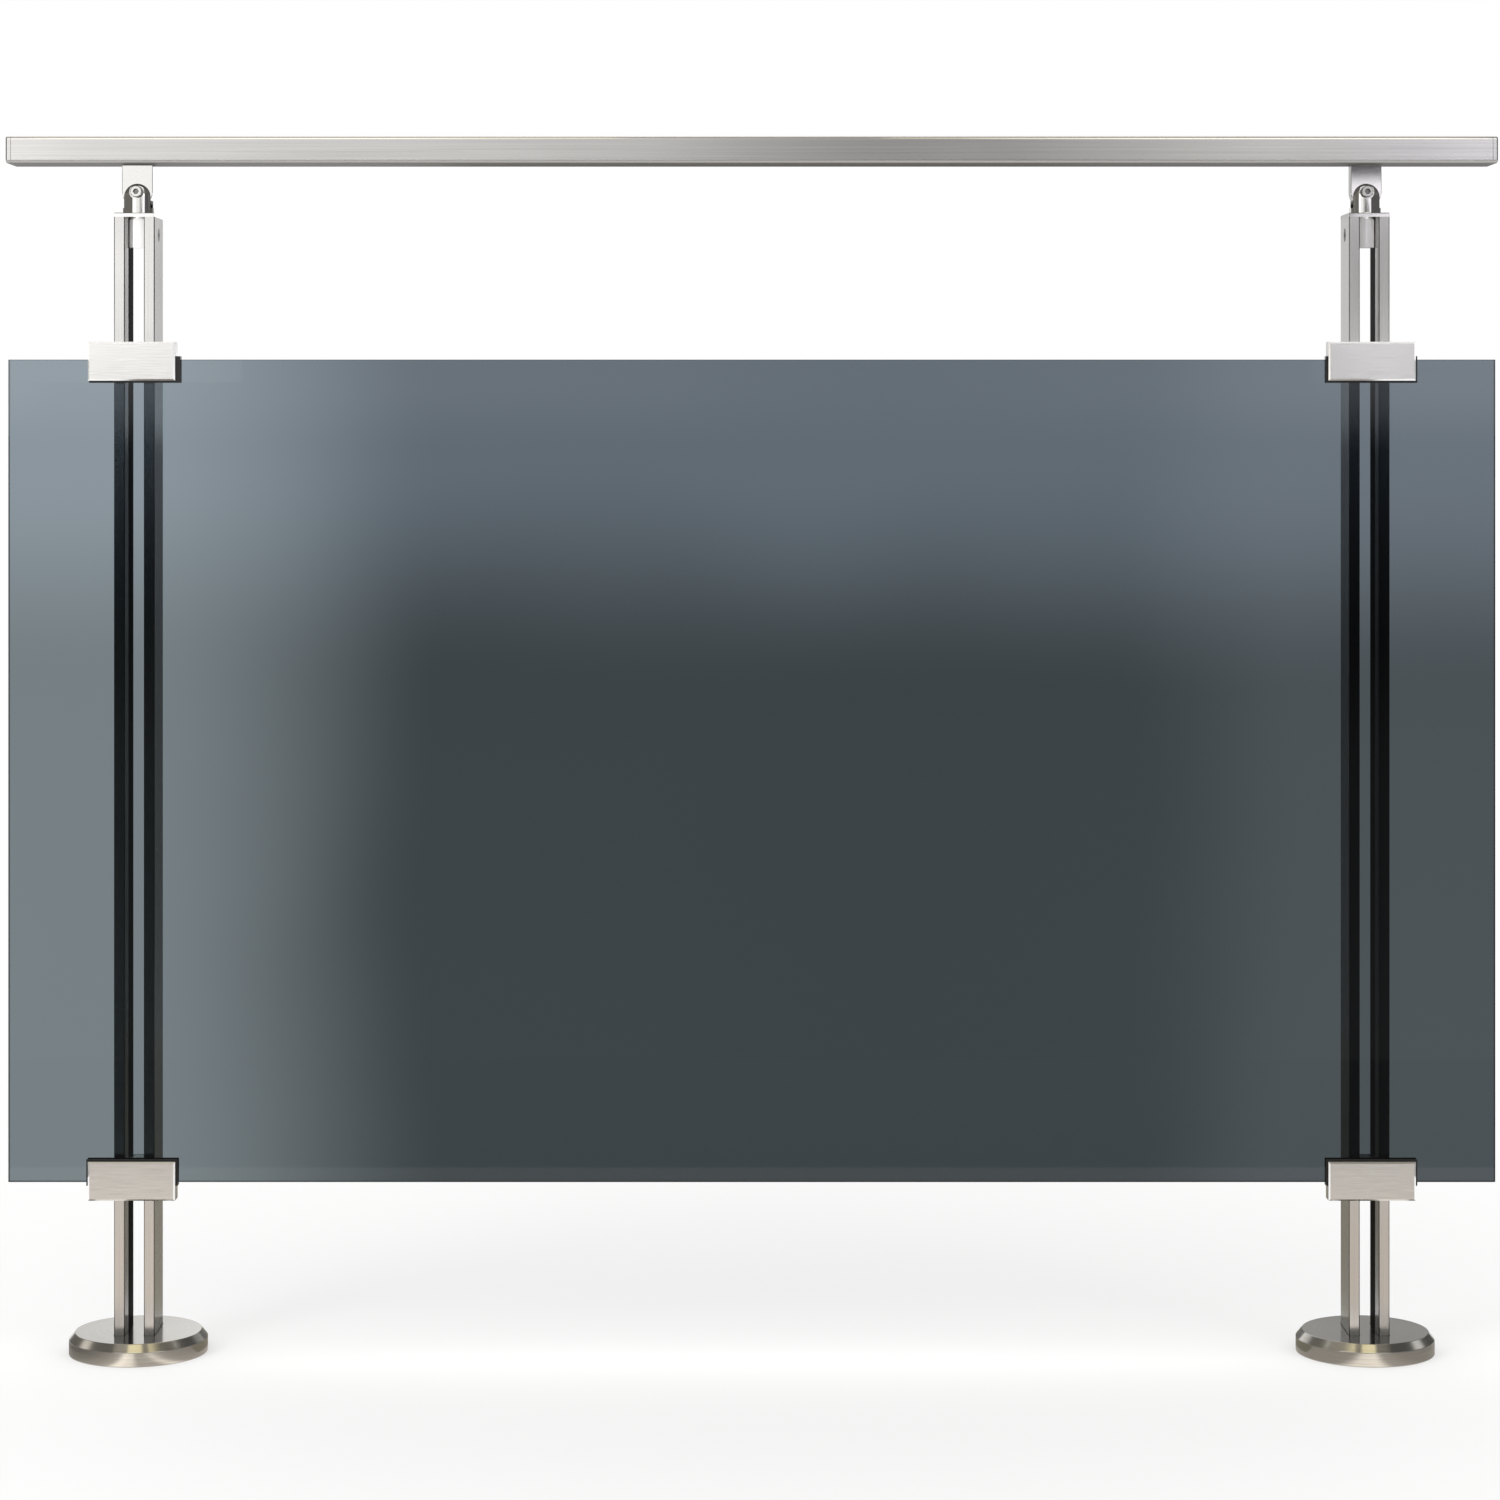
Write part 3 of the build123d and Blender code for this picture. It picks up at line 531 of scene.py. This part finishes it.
def steelMaterial(
    name, color, dark, roughness, anisotropy, around, turn, axis, grain, stroke, depth, recess, edge,
):
    material = newMaterial(name)
    tree = material.node_tree
    place = addNode(tree, "ShaderNodeTexCoord")
    parts = addNode(tree, "ShaderNodeSeparateXYZ", {"Vector": place.outputs["Object"]})
    normals = addNode(tree, "ShaderNodeSeparateXYZ", {"Vector": place.outputs["Normal"]})
    base = place.outputs["Object"]
    if axis == "round":
        base = roundTexture(tree, parts).outputs["Vector"]
    strokeLetter = "Y" if axis == "round" else axis
    across, along = 1 / (grain * mm), 1 / (stroke * mm)
    scale = [along if letter == strokeLetter else across for letter in "XYZ"]
    stretched = addNode(tree, "ShaderNodeMapping", {"Vector": base, "Scale": scale})
    marks = addNode(tree, "ShaderNodeTexNoise", {
        "Vector": stretched.outputs["Vector"], "Scale": 1.0, "Detail": 3.0, "Roughness": 0.6,
    })
    # Hand marks and wipes change the sheen only a little
    wipes = addNode(tree, "ShaderNodeTexNoise", {
        "Vector": place.outputs["Object"], "Scale": 1 / (wear["wipeSize"] * mm), "Detail": 2.0,
    })
    tone = addNode(tree, "ShaderNodeValToRGB", {"Fac": marks.outputs["Fac"]})
    for mark, level, shade in zip(tone.color_ramp.elements, wear["tones"], (dark, color)):
        mark.position = level
        mark.color = hexColor(shade)
    body = tone.outputs["Color"]
    low, high = wear["wipeLevels"]
    sheen = addNode(tree, "ShaderNodeMapRange", {
        "Value": wipes.outputs["Fac"], "From Min": low, "From Max": high,
        "To Min": roughness * (1 - wear["wipeShare"]), "To Max": roughness * (1 + wear["wipeShare"]),
    })
    sheen, bare = sheen.outputs["Result"], 1.0
    # the corners' colour is painted: dark reflection lines on the posts, highlights on the rail and the
    # clamps
    if edge:
        corner = edgeMask(tree, normals).outputs["Result"]
        body = addNode(tree, "ShaderNodeMix", {
            0: corner, 6: body, 7: hexColor(edge["color"]),
        }, data_type="RGBA").outputs[2]
        sheen = addNode(tree, "ShaderNodeMix", {0: corner, 2: sheen, 3: edge["roughness"]}).outputs[0]
    # painted light on the spots of the table above: painted shade, and a painted highlight on the spigot
    if recess:
        paintedLook = paintedSpots[recess]
        mask = paintedSpotMask(tree, parts, normals, recess).outputs[0]
        body = addNode(tree, "ShaderNodeMix", {
            0: mask, 6: body, 7: hexColor(paintedLook["color"]),
        }, data_type="RGBA").outputs[2]
        # painted shade under the rail, darker where it faces straight down
        if recess == "underside":
            below = addNode(tree, "ShaderNodeMapRange", {
                "Value": normals.outputs["Z"], "From Min": deepShadeTurn[0], "From Max": deepShadeTurn[1],
                "To Min": 1.0, "To Max": 0.0,
            })
            body = addNode(tree, "ShaderNodeMix", {
                0: below.outputs["Result"], 6: body, 7: hexColor(paintedUndersideShade),
            }, data_type="RGBA").outputs[2]
        # painted shade on the flat heads that face sideways
        if recess == "socket":
            body = addNode(tree, "ShaderNodeMix", {
                0: flatHeadMask(tree, normals).outputs["Result"], 6: body, 7: hexColor(paintedHeadShade),
            }, data_type="RGBA").outputs[2]
        sheen = addNode(tree, "ShaderNodeMix", {0: mask, 2: sheen, 3: paintedLook["roughness"]}).outputs[0]
        bare = addNode(tree, "ShaderNodeMix", {0: mask, 2: 1.0, 3: paintedLook["metal"]}).outputs[0]
    relief = addNode(tree, "ShaderNodeBump", {
        "Height": marks.outputs["Fac"], "Strength": depth, "Distance": wear["markDepth"] * mm,
    })
    if recess == "spigot":
        squeezed = addNode(tree, "ShaderNodeVectorMath", {
            0: place.outputs["Normal"], 1: (flatten, 1, 1),
        }, operation="MULTIPLY")
        flattened = addNode(tree, "ShaderNodeMix", {
            0: mask, 4: place.outputs["Normal"], 5: squeezed.outputs["Vector"],
        }, data_type="VECTOR")
        level = addNode(tree, "ShaderNodeVectorMath", {0: flattened.outputs[1]}, operation="NORMALIZE")
        tree.links.new(level.outputs["Vector"], relief.inputs["Normal"])
    tangent = addNode(tree, "ShaderNodeTangent", direction_type="RADIAL", axis=around)
    metal = addNode(tree, "ShaderNodeBsdfPrincipled", {
        "Base Color": body, "Metallic": bare, "Specular IOR Level": 0.1, "Roughness": sheen,
        "Anisotropic": anisotropy, "Anisotropic Rotation": turn,
        "Normal": relief.outputs["Normal"], "Tangent": tangent.outputs["Tangent"],
    })
    addNode(tree, "ShaderNodeOutputMaterial", {"Surface": metal.outputs["BSDF"]})
    return material


for slot, finish in steels.items():
    dress(slot, steelMaterial(**finish))

# Cast acrylic sheet in smoked grey, polished on both faces. Its tint is painted lighter at the left,
# along the top and a little at the right: painted light, standing in for the room's reflections.
# It also mirrors a little of the room.
# Each tint is what a ray keeps through the whole sheet. Ramps are in metres of the frame.
acrylic = {
    "ior": 1.3,
    "haze": 0.01,
    "deepTint": "#3b4346",
    "topTint": (0.078, 0.093, 0.114),
    "leftTint": (0.141, 0.162, 0.173),
    "rightTint": (0.025, 0.027, 0.031),
    "topRamp": (0.487, 0.665),
    "leftRamp": (-0.225, -0.46),
    "rightRamp": (0.27, 0.40),
    "cloud": 0.03,
    "cloudSize": 0.25,
    "edgeTint": "#10181b",
}


def acrylicMaterial():
    material = newMaterial("acrylic_sheet_cast_smoked")
    tree = material.node_tree
    place = addNode(tree, "ShaderNodeTexCoord")
    clouds = addNode(tree, "ShaderNodeTexNoise", {
        "Vector": place.outputs["Object"], "Scale": 1 / acrylic["cloudSize"], "Detail": 1.0,
    })
    centred = addNode(tree, "ShaderNodeVectorMath", {
        0: clouds.outputs["Color"], 1: (-0.5, -0.5, -0.5),
    }, operation="ADD")
    drift = addNode(tree, "ShaderNodeVectorMath", {
        0: centred.outputs["Vector"], 1: (2 * acrylic["cloud"],) * 3, 2: place.outputs["Object"],
    }, operation="MULTIPLY_ADD")
    parts = addNode(tree, "ShaderNodeSeparateXYZ", {"Vector": drift.outputs["Vector"]})
    total = None
    # painted light: each layer lightens the tint toward one side, in place of the room's reflections
    layers = (("top", "Z"), ("left", "X"), ("right", "X"))
    deep = hexColor(acrylic["deepTint"])[:3]
    for layer, letter in layers:
        start, end = acrylic[layer + "Ramp"]
        ramp = addNode(tree, "ShaderNodeMapRange", {
            "Value": parts.outputs[letter], "From Min": start, "From Max": end,
        }, interpolation_type="SMOOTHSTEP")
        total = addNode(tree, "ShaderNodeVectorMath", {
            0: ramp.outputs["Result"], 1: acrylic[layer + "Tint"],
            2: total.outputs["Vector"] if total else deep,
        }, operation="MULTIPLY_ADD")
    # A ray crosses two faces, so each face takes the square root of the tint
    face = addNode(tree, "ShaderNodeVectorMath", {
        0: total.outputs["Vector"], 1: (0.5, 0.5, 0.5),
    }, operation="POWER")
    # The narrow sides are saw-cut and polished last: a ray that leaves through one is nearly lost
    rim = addNode(tree, "ShaderNodeSeparateXYZ", {"Vector": place.outputs["Normal"]})
    broad = addNode(tree, "ShaderNodeMath", {0: rim.outputs["Y"]}, operation="ABSOLUTE")
    tint = addNode(tree, "ShaderNodeMix", {
        0: broad.outputs[0], 6: hexColor(acrylic["edgeTint"]), 7: face.outputs["Vector"],
    }, data_type="RGBA")
    clear = addNode(tree, "ShaderNodeBsdfTransparent", {"Color": tint.outputs[2]})
    gloss = addNode(tree, "ShaderNodeBsdfAnisotropic", {
        "Color": (1, 1, 1, 1), "Roughness": acrylic["haze"],
    })
    # The tint doesn't bend a ray, so the far face must mirror like the near one: its index is
    # turned over, because the node turns it over again on a back face
    sides = addNode(tree, "ShaderNodeNewGeometry")
    index = addNode(tree, "ShaderNodeMix", {
        0: sides.outputs["Backfacing"], 2: acrylic["ior"], 3: 1 / acrylic["ior"],
    })
    mirror = addNode(tree, "ShaderNodeFresnel", {"IOR": index.outputs[0]})
    sheet = addNode(tree, "ShaderNodeMixShader", {
        0: mirror.outputs["Fac"], 1: clear.outputs["BSDF"], 2: gloss.outputs["BSDF"],
    })
    addNode(tree, "ShaderNodeOutputMaterial", {"Surface": sheet.outputs["Shader"]})
    return material


dress("smoked_acrylic", acrylicMaterial())

# EPDM rubber, moulded: black, with a faint sheen that fine grit breaks up
rubber = {"color": "#0c0c0c", "roughness": 0.3, "spread": 0.08, "grit": 0.5, "depth": 0.08}


def rubberMaterial():
    material = newMaterial("epdm_rubber_moulded")
    tree = material.node_tree
    place = addNode(tree, "ShaderNodeTexCoord")
    grit = addNode(tree, "ShaderNodeTexNoise", {
        "Vector": place.outputs["Object"], "Scale": 1 / (rubber["grit"] * mm), "Detail": 2.0,
    })
    sheen = addNode(tree, "ShaderNodeMapRange", {
        "Value": grit.outputs["Fac"],
        "To Min": rubber["roughness"] - rubber["spread"], "To Max": rubber["roughness"] + rubber["spread"],
    })
    relief = addNode(tree, "ShaderNodeBump", {
        "Height": grit.outputs["Fac"], "Strength": rubber["depth"], "Distance": 0.1 * mm,
    })
    body = addNode(tree, "ShaderNodeBsdfPrincipled", {
        "Base Color": hexColor(rubber["color"]), "Roughness": sheen.outputs["Result"],
        "IOR": 1.5, "Normal": relief.outputs["Normal"],
    })
    addNode(tree, "ShaderNodeOutputMaterial", {"Surface": body.outputs["BSDF"]})
    return material


dress("liner_rubber", rubberMaterial())
